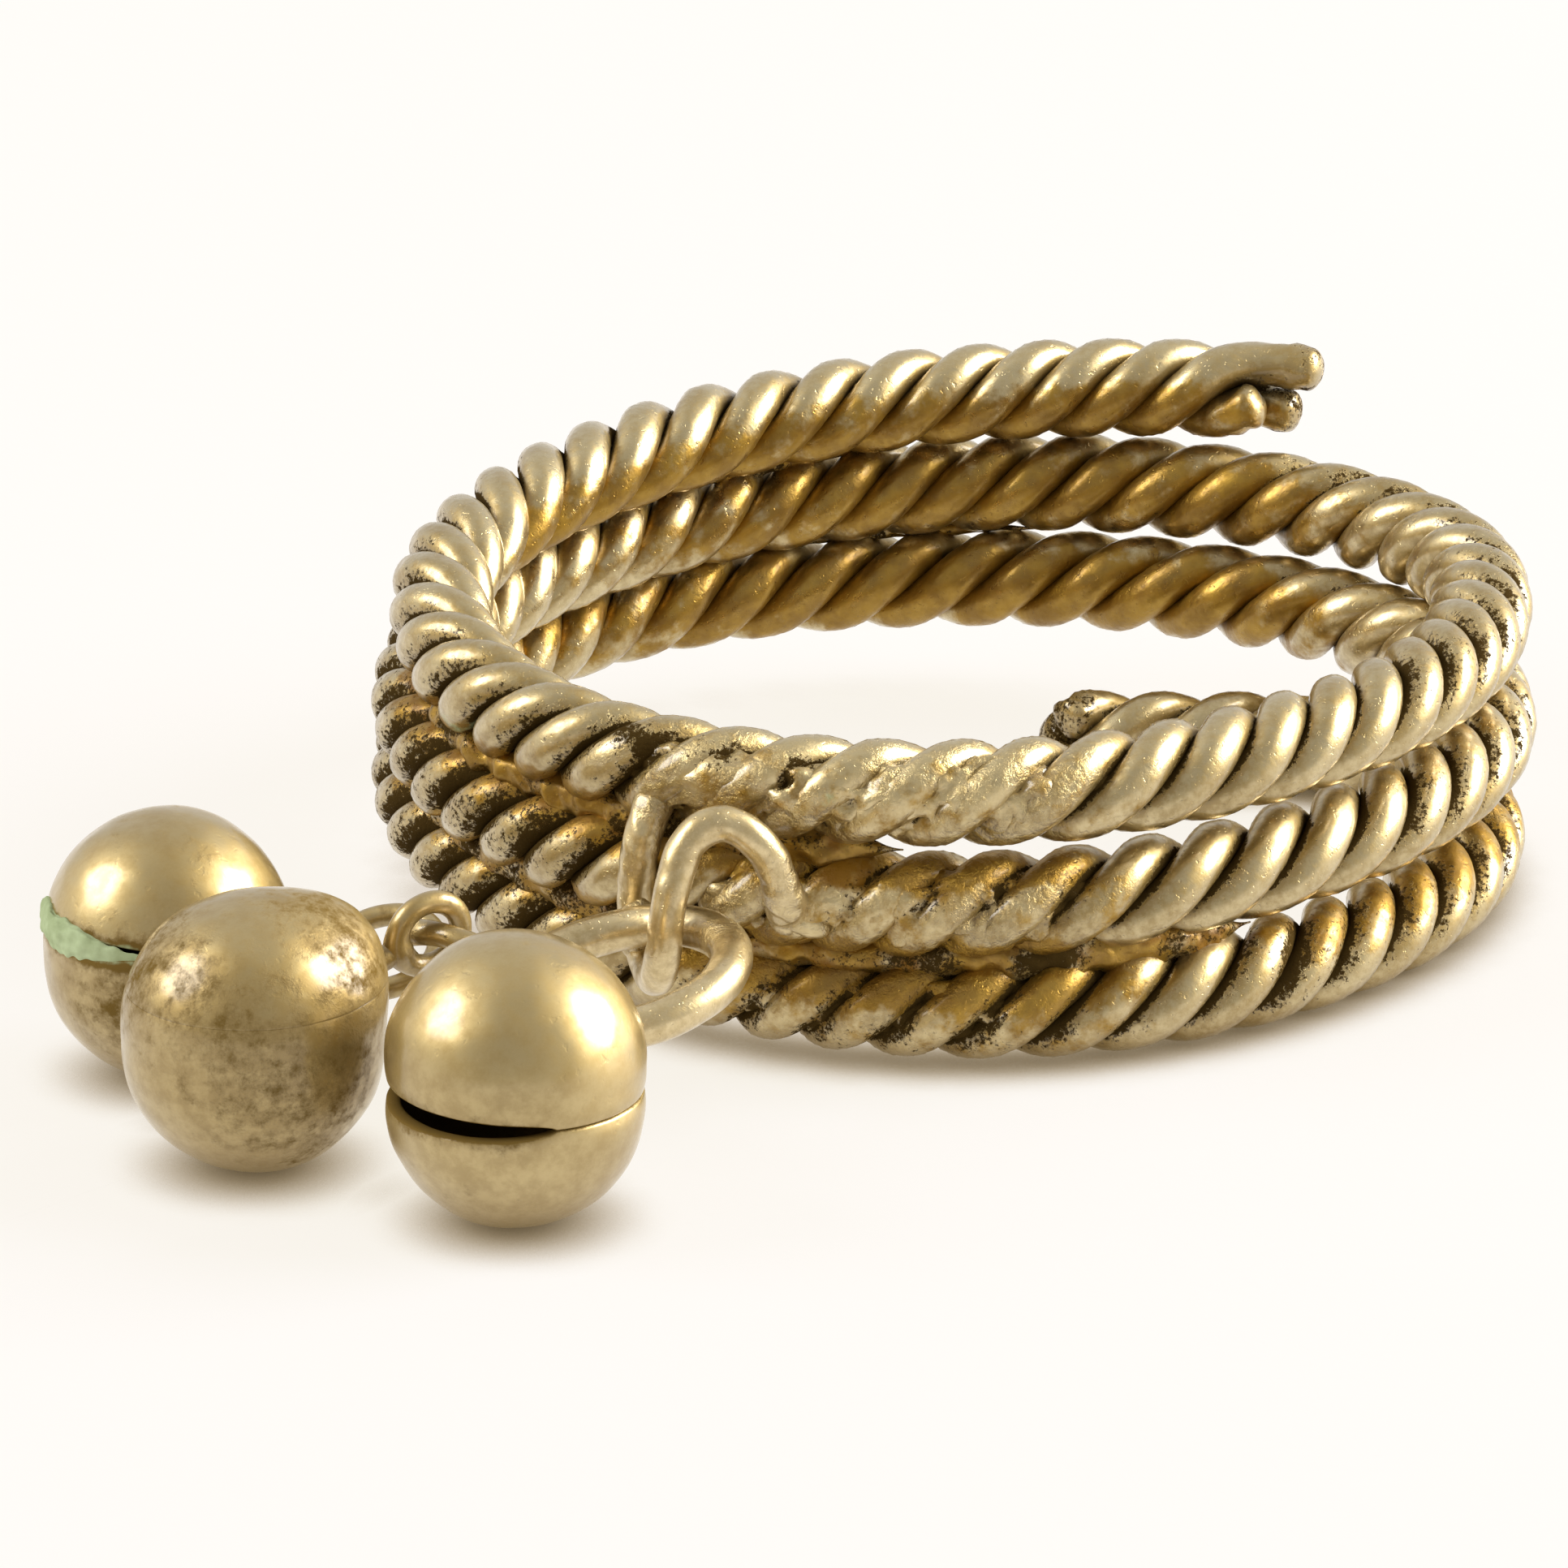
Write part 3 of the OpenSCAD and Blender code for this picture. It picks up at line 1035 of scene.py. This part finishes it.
class NodeBench:
    """Adds nodes to one node tree and links them."""

    def __init__(self, tree: bpy.types.NodeTree) -> None:
        """Keeps the tree."""
        self.tree = tree

    def add(self, kind: str, inputs: dict | None = None, **settings: object) -> bpy.types.Node:
        """Adds a node.

        Args:
            kind: Its type name.
            inputs: Values or sockets for its inputs, by name or number.
            settings: Its other properties.

        Returns:
            The node.
        """
        node = self.tree.nodes.new(kind)
        for name, value in settings.items():
            setattr(node, name, value)
        for key, value in (inputs or {}).items():
            self.feed(node.inputs[key], value)
        return node

    def feed(self, target: Socket, value: object) -> None:
        """Links a socket to an input, or sets a plain value there."""
        if isinstance(value, Socket):
            self.tree.links.new(value, target)
        else:
            target.default_value = value

    def math(self, operation: str, a: object, b: object, clamp: bool = False) -> Socket:
        """The result of a Math node."""
        node = self.add("ShaderNodeMath", {0: a, 1: b}, operation=operation, use_clamp=clamp)
        return node.outputs[0]

    def times(self, *values: object) -> Socket:
        """The product of values or sockets."""
        return reduce(lambda a, b: self.math("MULTIPLY", a, b), values)

    def plus(self, *values: object) -> Socket:
        """The sum of values or sockets."""
        return reduce(lambda a, b: self.math("ADD", a, b), values)

    def less(self, a: object, b: object, clamp: bool = False) -> Socket:
        """The first value or socket less the second."""
        return self.math("SUBTRACT", a, b, clamp)

    def mix(self, factor: object, a: object, b: object) -> Socket:
        """A mix of two colours: the first at factor 0, the second at factor 1."""
        inputs = {"Factor": factor, 6: a, 7: b}
        return self.add("ShaderNodeMix", inputs, data_type="RGBA", clamp_factor=True).outputs[2]

    def blend(self, factor: object, a: object, b: object) -> Socket:
        """A mix of two numbers: the first at factor 0, the second at factor 1."""
        inputs = {"Factor": factor, 2: a, 3: b}
        return self.add("ShaderNodeMix", inputs, data_type="FLOAT", clamp_factor=True).outputs[0]

    def step(self, value: object, low: object, high: object) -> Socket:
        """A soft step from 0 at low to 1 at high."""
        inputs = {"Value": value, "From Min": low, "From Max": high}
        node = self.add("ShaderNodeMapRange", inputs, interpolation_type="SMOOTHSTEP")
        return node.outputs["Result"]

    def noise(self, vector: object, scale: object, detail: float, roughness: float) -> Socket:
        """The value of a Noise node, about 0.5 on average."""
        inputs = {"Vector": vector, "Scale": scale, "Detail": detail, "Roughness": roughness}
        return self.add("ShaderNodeTexNoise", inputs).outputs["Fac"]

    def mark(self, mark: Mark) -> Socket:
        """The value of one of the piece's marks."""
        return self.add("ShaderNodeAttribute", attribute_name=mark.value).outputs["Fac"]

    def place(self) -> Socket:
        """Object coordinates, in metres."""
        return self.add("ShaderNodeTexCoord").outputs["Object"]

    def surface(self, inputs: dict[str, object]) -> None:
        """Adds the surface shader and links it to the material's output."""
        shader = self.add("ShaderNodeBsdfPrincipled", inputs)
        self.add("ShaderNodeOutputMaterial", {"Surface": shader.outputs[0]})


def empty_material(name: str) -> tuple[bpy.types.Material, NodeBench]:
    """A new material without nodes, and the bench that adds them."""
    material = bpy.data.materials.new(name)
    material.use_nodes = True
    material.node_tree.nodes.clear()
    return material, NodeBench(material.node_tree)


class Effect:
    """A node group with named inputs and outputs, built once and placed in many materials."""

    def __init__(self, name: str, inputs: dict[str, float], outputs: tuple[str, ...]) -> None:
        """Makes an empty group.

        Args:
            name: Name of the group.
            inputs: Input names and their usual values. One of them is Scale.
            outputs: Output names.
        """
        self.tree = bpy.data.node_groups.new(name, "ShaderNodeTree")
        for key, value in inputs.items():
            socket = self.tree.interface.new_socket(key, in_out="INPUT", socket_type="NodeSocketFloat")
            socket.default_value = value
        for key in outputs:
            self.tree.interface.new_socket(key, in_out="OUTPUT", socket_type="NodeSocketFloat")
        self.bench = NodeBench(self.tree)
        self.source = self.bench.add("NodeGroupInput").outputs
        self.result = self.bench.add("NodeGroupOutput").inputs
        self.place = self.bench.place()

    def noise(self, scale: float, detail: float, roughness: float, vector: Socket | None = None) -> Socket:
        """Noise with a scale per metre, times the group's, at the place or at another vector."""
        size = self.bench.times(self.source["Scale"], scale)
        return self.bench.noise(vector or self.place, size, detail, roughness)

    def give(self, results: dict[str, Socket]) -> None:
        """Links results to the group's outputs of the same names."""
        for name, value in results.items():
            self.bench.feed(self.result[name], value)

    def put(self, bench: NodeBench, inputs: dict[str, object]) -> Outputs:
        """Places the group in a material and returns its outputs."""
        return bench.add("ShaderNodeGroup", inputs, node_tree=self.tree).outputs


class Workshop:
    """Builds the shared effects and keeps them for the materials."""

    def __init__(self) -> None:
        """Builds all shared effects."""
        self.grain = self.make_grain()
        self.crust = self.make_crust()
        self.residue = self.make_residue()

    def make_grain(self) -> Effect:
        """Slow cloudiness, fine pits and hairlines of handled metal."""
        effect = Effect("handled_metal", {"Scale": 1.0, "Pits": 0.5}, ("Cloud", "Fine", "Height"))
        b = effect.bench
        cloud = effect.noise(700.0, 4.0, 0.6)
        fine = effect.noise(5200.0, 4.0, 0.65)
        stretch = {"Vector": effect.place, "Rotation": (0.4, 0.9, 0.3), "Scale": (1.0, 9.0, 1.0)}
        lines = effect.noise(2600.0, 3.0, 0.7, b.add("ShaderNodeMapping", stretch).outputs[0])
        pits = b.step(effect.noise(9000.0, 2.0, 0.5), 0.62, 0.72)
        hairs = b.less(b.times(lines, 0.35), b.times(pits, effect.source["Pits"]))
        height = b.plus(hairs, b.times(fine, 0.5))
        effect.give({"Cloud": b.step(cloud, 0.3, 0.7), "Fine": b.step(fine, 0.3, 0.7), "Height": height})
        return effect

    def make_crust(self) -> Effect:
        """Dark tarnish in ragged flecks that thicken as its amount grows."""
        inputs = {"Amount": 0.5, "Scale": 1.0, "Softness": 0.035}
        effect = Effect("tarnish_crust", inputs, ("Mask", "Height"))
        b, soft = effect.bench, effect.source["Softness"]
        broad = effect.noise(2200.0, 6.0, 0.75)
        flecks = effect.noise(11000.0, 4.0, 0.75)
        both = b.plus(b.times(broad, 0.45), b.times(flecks, 0.55))
        limit = b.less(0.82, b.times(effect.source["Amount"], 0.52))
        mask = b.step(both, b.less(limit, soft), b.plus(limit, soft))
        effect.give({"Mask": mask, "Height": b.times(mask, b.plus(flecks, 0.4))})
        return effect

    def make_residue(self) -> Effect:
        """A smeared deposit, thick in its middle and ragged at its rim, with a value for its tone."""
        effect = Effect("smeared_residue", {"Amount": 0.5, "Scale": 1.0}, ("Mask", "Tone", "Height"))
        b = effect.bench
        smear = effect.noise(1900.0, 5.0, 0.62)
        limit = b.less(0.95, b.times(effect.source["Amount"], 0.75))
        mask = b.step(smear, b.less(limit, 0.13), b.plus(limit, 0.13))
        tone = b.step(effect.noise(1500.0, 4.0, 0.6), 0.3, 0.7)
        effect.give({"Mask": mask, "Tone": tone, "Height": b.times(mask, tone)})
        return effect


@dataclass(frozen=True)
class Layers:
    """What lies on the metal, as sockets: where it is low, dull or soldered, and each deposit."""

    deep: Socket
    dullness: Socket
    solder: Socket
    grain: Outputs
    crust: Outputs
    amber: Outputs
    green: Outputs
    rust: Outputs


@dataclass(frozen=True)
class AgedBrass:
    """Aged pale nickel brass: polished where it is rubbed, dark where it isn't, with painted shade in its
    grooves and what sticks to it.
    """

    name: str
    clean: Colour = (0.68, 0.56, 0.31, 1.0)
    dull: Colour = (0.36, 0.25, 0.08, 1.0)
    # dark: the colour of crusted tarnish, and of the painted shade at the bottom of the grooves
    dark: Colour = (0.055, 0.033, 0.009, 1.0)
    solder: Colour = (0.62, 0.49, 0.24, 1.0)
    amber: Colour = (0.39, 0.225, 0.022, 1.0)
    amber_dark: Colour = (0.23, 0.12, 0.01, 1.0)
    green: Colour = (0.45, 0.53, 0.32, 1.0)
    green_dark: Colour = (0.3, 0.36, 0.19, 1.0)
    rust: Colour = (0.19, 0.083, 0.004, 1.0)
    polish: float = 0.21  # roughness where the metal is rubbed
    matt: float = 0.44  # roughness where it is dull
    groove: float = 0.85  # how much tarnish gathers in the grooves
    # shade: painted shade, how strongly the bottom of each groove is darkened towards the dark colour
    shade: float = 0.75  # how dark the bottom of a groove is
    cloudiness: float = 0.45
    crust_scale: float = 1.0
    crust_softness: float = 0.035
    grain_scale: float = 1.0
    bump_strength: float = 0.7
    relief_depth: float = 0.06  # in millimetres
    coat: float = 1.0

    def layers(self, b: NodeBench, shop: Workshop) -> Layers:
        """Works out from the marks where the metal is dull and where each deposit lies.

        Args:
            b: The material's bench.
            shop: The shared effects.

        Returns:
            The layers.
        """
        ridge, tarnish = b.mark(Mark.RIDGE), b.mark(Mark.TARNISH)
        grain = shop.grain.put(b, {"Scale": self.grain_scale, "Pits": 0.5})
        low = b.less(1.0, b.step(ridge, 0.1, 0.9))
        # deep: where the ridge mark is low; it gathers real tarnish and carries the painted groove shade
        deep = b.less(1.0, b.step(ridge, 0.06, 0.6))
        worn = b.times(tarnish, b.less(1.1, b.times(b.step(ridge, 0.7, 1.0), 0.35)))
        gathered = b.times(deep, b.times(b.plus(tarnish, 0.4), self.groove))
        amount = b.math("ADD", worn, gathered, clamp=True)
        crust = {"Amount": amount, "Scale": self.crust_scale, "Softness": self.crust_softness}
        uneven = b.plus(b.times(grain["Cloud"], self.cloudiness), b.times(grain["Fine"], 0.45))
        film = b.plus(b.times(low, 0.7), b.times(tarnish, 0.45))
        return Layers(
            deep=deep,
            dullness=b.math("ADD", uneven, film, clamp=True),
            solder=b.mark(Mark.SOLDER),
            grain=grain,
            crust=shop.crust.put(b, crust),
            amber=shop.residue.put(b, {"Amount": b.mark(Mark.AMBER), "Scale": 1.0}),
            green=shop.residue.put(b, {"Amount": b.mark(Mark.GREEN), "Scale": 0.8}),
            rust=shop.residue.put(b, {"Amount": b.mark(Mark.RUST), "Scale": 1.3}),
        )

    def tint(self, b: NodeBench, on: Layers) -> Socket:
        """The colour: clean to dull metal, with solder, painted groove shade and the deposits laid over it
        in turn.
        """
        patchy = b.times(on.solder, b.step(on.grain["Cloud"], 0.9, 0.2))
        covers = (
            (b.times(patchy, 0.7), self.solder),
            # painted shade: darkens the bottom of the grooves towards the dark colour
            (b.times(on.deep, on.deep, self.shade), self.dark),
            (b.times(on.amber["Mask"], 0.9), b.mix(on.amber["Tone"], self.amber_dark, self.amber)),
            (b.times(on.rust["Mask"], 0.85), self.rust),
            (on.crust["Mask"], self.dark),
            (on.green["Mask"], b.mix(on.green["Tone"], self.green_dark, self.green)),
        )
        colour = b.mix(on.dullness, self.clean, self.dull)
        for share, cover in covers:
            colour = b.mix(share, colour, cover)
        return colour

    def relief(self, b: NodeBench, on: Layers) -> Socket:
        """The fine relief, as a normal: the heights of the layers, each times its share, added up."""
        shares = ((on.grain, 0.3), (on.crust, 0.5), (on.amber, 0.2), (on.green, 0.8))
        heights = [b.times(layer["Height"], share) for layer, share in shares]
        lumps = b.times(on.grain["Cloud"], on.grain["Fine"], b.times(on.solder, 1.4))
        height = b.plus(*heights, lumps)
        inputs = {"Strength": self.bump_strength, "Distance": self.relief_depth * MM, "Height": height}
        return b.add("ShaderNodeBump", inputs).outputs[0]

    def build(self, shop: Workshop) -> bpy.types.Material:
        """Builds the material.

        Args:
            shop: The shared effects.

        Returns:
            The material.
        """
        material, b = empty_material(self.name)
        on = self.layers(b, shop)
        dry = b.math("MAXIMUM", on.crust["Mask"], on.green["Mask"])
        covered = b.math("MAXIMUM", dry, on.rust["Mask"])
        metallic = b.less(1.0, b.times(covered, 0.9), clamp=True)
        polished = b.blend(on.dullness, self.polish, self.matt)
        rough = b.plus(polished, b.times(on.grain["Fine"], 0.1), b.times(on.solder, 0.04))
        bare = b.less(1.0, dry, clamp=True)
        gloss = b.less(1.0, b.times(on.rust["Mask"], 0.75))
        inputs = {
            "Base Color": self.tint(b, on),
            "Metallic": b.less(metallic, b.times(on.amber["Mask"], 0.15), clamp=True),
            "Roughness": b.blend(b.times(dry, 0.9), rough, 0.62),
            "Normal": self.relief(b, on),
            "Specular IOR Level": b.times(bare, gloss, 0.5),
            "Coat Weight": b.times(bare, b.blend(on.amber["Mask"], self.coat, 0.15), gloss),
            "Coat Roughness": 0.2,
            "Coat IOR": 1.65,
        }
        b.surface(inputs)
        return material


@dataclass(frozen=True)
class Paper:
    """The plain pale floor. Most of its light is a glow of its own, so its shadows stay pale and warm."""

    name: str = "pale_paper"
    colour: Colour = (0.039, 0.046, 0.08, 1.0)
    glow: Colour = (0.89, 0.845, 0.755, 1.0)
    # The painted contact shadow: where things touch the floor, its glow fades to the shade colour and its
    # matt colour to shade_matt.
    shade: Colour = (0.5, 0.37, 0.2, 1.0)
    shade_matt: Colour = (0.03, 0.025, 0.016, 1.0)
    contact: float = 1.6  # how near things shade the floor, in millimetres

    def build(self) -> bpy.types.Material:
        """Builds the material: a matt colour with a faint tooth, and a glow that fades in corners to a
        painted warm shadow.
        """
        material, b = empty_material(self.name)
        tooth = b.noise(b.place(), 900.0, 3.0, 0.6)
        relief = b.add("ShaderNodeBump", {"Strength": 0.1, "Distance": 0.1 * MM, "Height": tooth})
        # Painted contact shadow, from ambient occlusion within the contact distance.
        corner = b.add("ShaderNodeAmbientOcclusion", {"Distance": self.contact * MM}, samples=8)
        opened = corner.outputs["AO"]
        clear = b.step(opened, 0.1, 0.85)
        inputs = {
            "Base Color": b.mix(clear, self.shade_matt, self.colour),
            "Roughness": 0.85,
            "Normal": relief.outputs[0],
            "Emission Color": b.mix(clear, self.shade, self.glow),
            "Emission Strength": b.step(opened, -0.3, 0.75),
        }
        b.surface(inputs)
        return material


@dataclass(frozen=True)
class SoftBox:
    """A wide soft light that faces the ring. Lengths are in millimetres, angles in degrees."""

    name: str
    azimuth: float
    elevation: float
    width: float
    height: float
    radiance: float
    distance: float = 330.0
    colour: tuple[float, float, float] = (1.0, 0.985, 0.96)

    def build(self, target: Vector) -> None:
        """Makes the light and turns it to the target.

        Its power is its radiance times pi times its area, and the area of an oval is a quarter of pi
        times its width and height.

        Args:
            target: The point that it faces, in metres.
        """
        light = bpy.data.lights.new(self.name, "AREA")
        light.shape = "ELLIPSE"
        light.size, light.size_y = self.width * MM, self.height * MM
        light.energy = self.radiance * math.pi * 0.25 * math.pi * light.size * light.size_y
        light.color = self.colour
        lamp = add_object(self.name, light)
        lamp.location = target + Vector(direction(self.azimuth, self.elevation) * self.distance * MM)
        lamp.rotation_euler = (target - lamp.location).to_track_quat("-Z", "Y").to_euler()


@dataclass(frozen=True)
class Studio:
    """The floor, the lights, the surroundings and the camera. Lengths are in millimetres."""

    eye: tuple[float, float, float] = (-3.6, -191.74, 72.8)
    aim: tuple[float, float, float] = (-3.6, -0.6, 2.09)
    lens: float = 241.5
    sensor_width: float = 36.0
    near_clip: float = 10.0
    floor_width: float = 1600.0
    bright: Colour = (0.72, 0.71, 0.69, 1.0)
    dim: Colour = (0.5, 0.49, 0.475, 1.0)
    dim_side: tuple[float, float] = (-90.0, 25.0)  # azimuth and elevation, in degrees
    boxes: tuple[SoftBox, ...] = (
        SoftBox("right_box", azimuth=8.0, elevation=27.0, width=250.0, height=260.0, radiance=14.0),
        SoftBox("left_box", azimuth=184.0, elevation=36.0, width=210.0, height=190.0, radiance=7.5),
    )

    def camera(self) -> None:
        """Makes the camera at the photograph's angle."""
        data = bpy.data.cameras.new("camera")
        data.lens, data.sensor_width, data.clip_start = self.lens, self.sensor_width, self.near_clip * MM
        camera = add_object("camera", data)
        eye, aim = Vector(self.eye) * MM, Vector(self.aim) * MM
        camera.location = eye
        camera.rotation_euler = (aim - eye).to_track_quat("-Z", "Y").to_euler()
        bpy.context.scene.camera = camera

    def floor(self) -> None:
        """Makes the floor, a flat square with its top at height 0."""
        half = 0.5 * self.floor_width * MM
        mesh = bpy.data.meshes.new("floor")
        corners = [(-half, -half, 0.0), (half, -half, 0.0), (half, half, 0.0), (-half, half, 0.0)]
        mesh.from_pydata(corners, [], [(0, 1, 2, 3)])
        mesh.materials.append(Paper().build())
        floor = add_object("floor", mesh)

    def surroundings(self) -> None:
        """Makes the world: pale all round, and darker on the side where the camera stands."""
        world = bpy.data.worlds.new("studio")
        world.use_nodes = True
        world.node_tree.nodes.clear()
        b = NodeBench(world.node_tree)
        look = b.add("ShaderNodeTexCoord").outputs["Generated"]
        inputs = {0: look, 1: tuple(direction(*self.dim_side))}
        cosine = b.add("ShaderNodeVectorMath", inputs, operation="DOT_PRODUCT").outputs["Value"]
        colour = b.mix(b.step(cosine, 0.1, 0.75), self.bright, self.dim)
        back = b.add("ShaderNodeBackground", {"Color": colour, "Strength": 1.0})
        b.add("ShaderNodeOutputWorld", {"Surface": back.outputs[0]})
        bpy.context.scene.world = world

    def build(self) -> None:
        """Makes everything around the ring."""
        self.camera()
        self.floor()
        self.surroundings()
        for box in self.boxes:
            box.build(Vector(self.aim) * MM)
        bpy.context.scene.view_settings.view_transform = "Standard"


FINISHES = (
    AgedBrass("twisted_wire"),
    AgedBrass("bright_wire", clean=(0.77, 0.62, 0.34, 1.0), polish=0.28, matt=0.4, cloudiness=0.3),
    AgedBrass("dull_wire", clean=(0.44, 0.33, 0.14, 1.0), polish=0.34, matt=0.5),
    AgedBrass(
        "bell_metal",
        clean=(0.57, 0.44, 0.2, 1.0),
        dark=(0.16, 0.1, 0.026, 1.0),
        polish=0.36,
        matt=0.46,
        groove=0.6,
        crust_scale=0.25,
        crust_softness=0.13,
        grain_scale=0.5,
        bump_strength=0.25,
    ),
)


@dataclass(frozen=True)
class FingerRing:
    """The whole ring: its pieces, the nodes they stand for and their finishes."""

    band: TwistedBand = TwistedBand()
    bail: Bail = Bail()
    jump_ring: WireRing = WireRing(
        place=(-6.6, -12.6, 2.7),
        turns=(5.0, -13.0, 0.0),
        radius=2.1,
        wire_radius=0.39,
        seed=71,
        joint=20.0,
        swell=0.06,
        tarnish=0.08,
    )
    link_ring: WireRing = WireRing(
        place=(-9.2, -12.4, 2.7),
        turns=(-37.0, 30.0, 0.0),
        radius=1.6,
        wire_radius=0.225,
        seed=73,
        joint=200.0,
        swell=0.1,
        tarnish=0.4,
    )
    bell_front: Bell = Bell(
        place=(-8.4, -17.4, 2.7),
        diameter=4.7,
        straight=0.7,
        slit_height=-0.15,
        slit_turn=210.0,
        slit_opening=0.4,
        shank_turn=63.0,
        shank_rise=-6.0,
        loop_radius=0.95,
        loop_roll=15.0,
        neck=0.0,
        seed=81,
    )
    bell_middle: Bell = Bell(
        place=(-13.2, -14.8, 2.6),
        diameter=4.8,
        straight=0.4,
        slit_height=0.9,
        slit_turn=225.0,
        slit_opening=0.0,
        shank_turn=28.0,
        shank_rise=19.0,
        loop_radius=0.65,
        loop_roll=-8.0,
        neck=0.8,
        seed=91,
        dents=(Dent(19.0, 41.0, 26.0, -0.36), Dent(-120.0, 80.0, 30.0, 0.08)),
        mottle=0.68,
        lip_depth=0.004,
        lip_wear=0.06,
        lap=0.1,
    )
    bell_rear: Bell = Bell(
        place=(-15.0, -10.3, 2.55),
        diameter=4.6,
        straight=0.5,
        slit_height=0.6,
        slit_turn=190.0,
        slit_opening=0.3,
        shank_turn=-17.0,
        shank_rise=4.0,
        loop_radius=1.0,
        loop_roll=66.0,
        neck=1.05,
        seed=101,
        crust=1.0,
        mottle=0.6,
    )

    def dress(self, piece: bpy.types.Object, material: bpy.types.Material, node: str) -> None:
        """Gives a piece its material and says what it stands for."""
        piece.data.materials.append(material)
        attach(piece, "root")
        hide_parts(node)
        triangles = sum(len(face.vertices) - 2 for face in piece.data.polygons)
        log.info("%s: %d triangles, stands for %s", piece.name, triangles, node)

    def build(self, shop: Workshop) -> None:
        """Makes and dresses every piece."""
        materials = {finish.name: finish.build(shop) for finish in FINISHES}
        wires = [(name, [self.band.wire(k)], "band", "twisted_wire") for k, name in enumerate(WIRE_NAMES)]
        others = [
            ("core", [self.band.core()], "band", "twisted_wire"),
            ("residue", self.band.residue(), "band", "twisted_wire"),
            ("bail", self.bail.sheets(), "band", "bright_wire"),
            ("jump_ring_wire", [self.jump_ring.sheet()], "jump_ring", "bright_wire"),
            ("link_ring_wire", [self.link_ring.sheet()], "link_ring", "dull_wire"),
            ("bell_front_shell", self.bell_front.sheets(), "bell_front", "bell_metal"),
            ("bell_middle_shell", self.bell_middle.sheets(), "bell_middle", "bell_metal"),
            ("bell_rear_shell", self.bell_rear.sheets(), "bell_rear", "bell_metal"),
        ]
        for name, sheets, node, slot in wires + others:
            self.dress(make_piece(name, sheets), materials[slot], node)


def main() -> None:
    """Builds the studio and the ring."""
    logging.basicConfig(level=logging.INFO, format="%(name)s: %(message)s")
    Studio().build()
    FingerRing().build(Workshop())


if __name__ == "__main__":
    main()
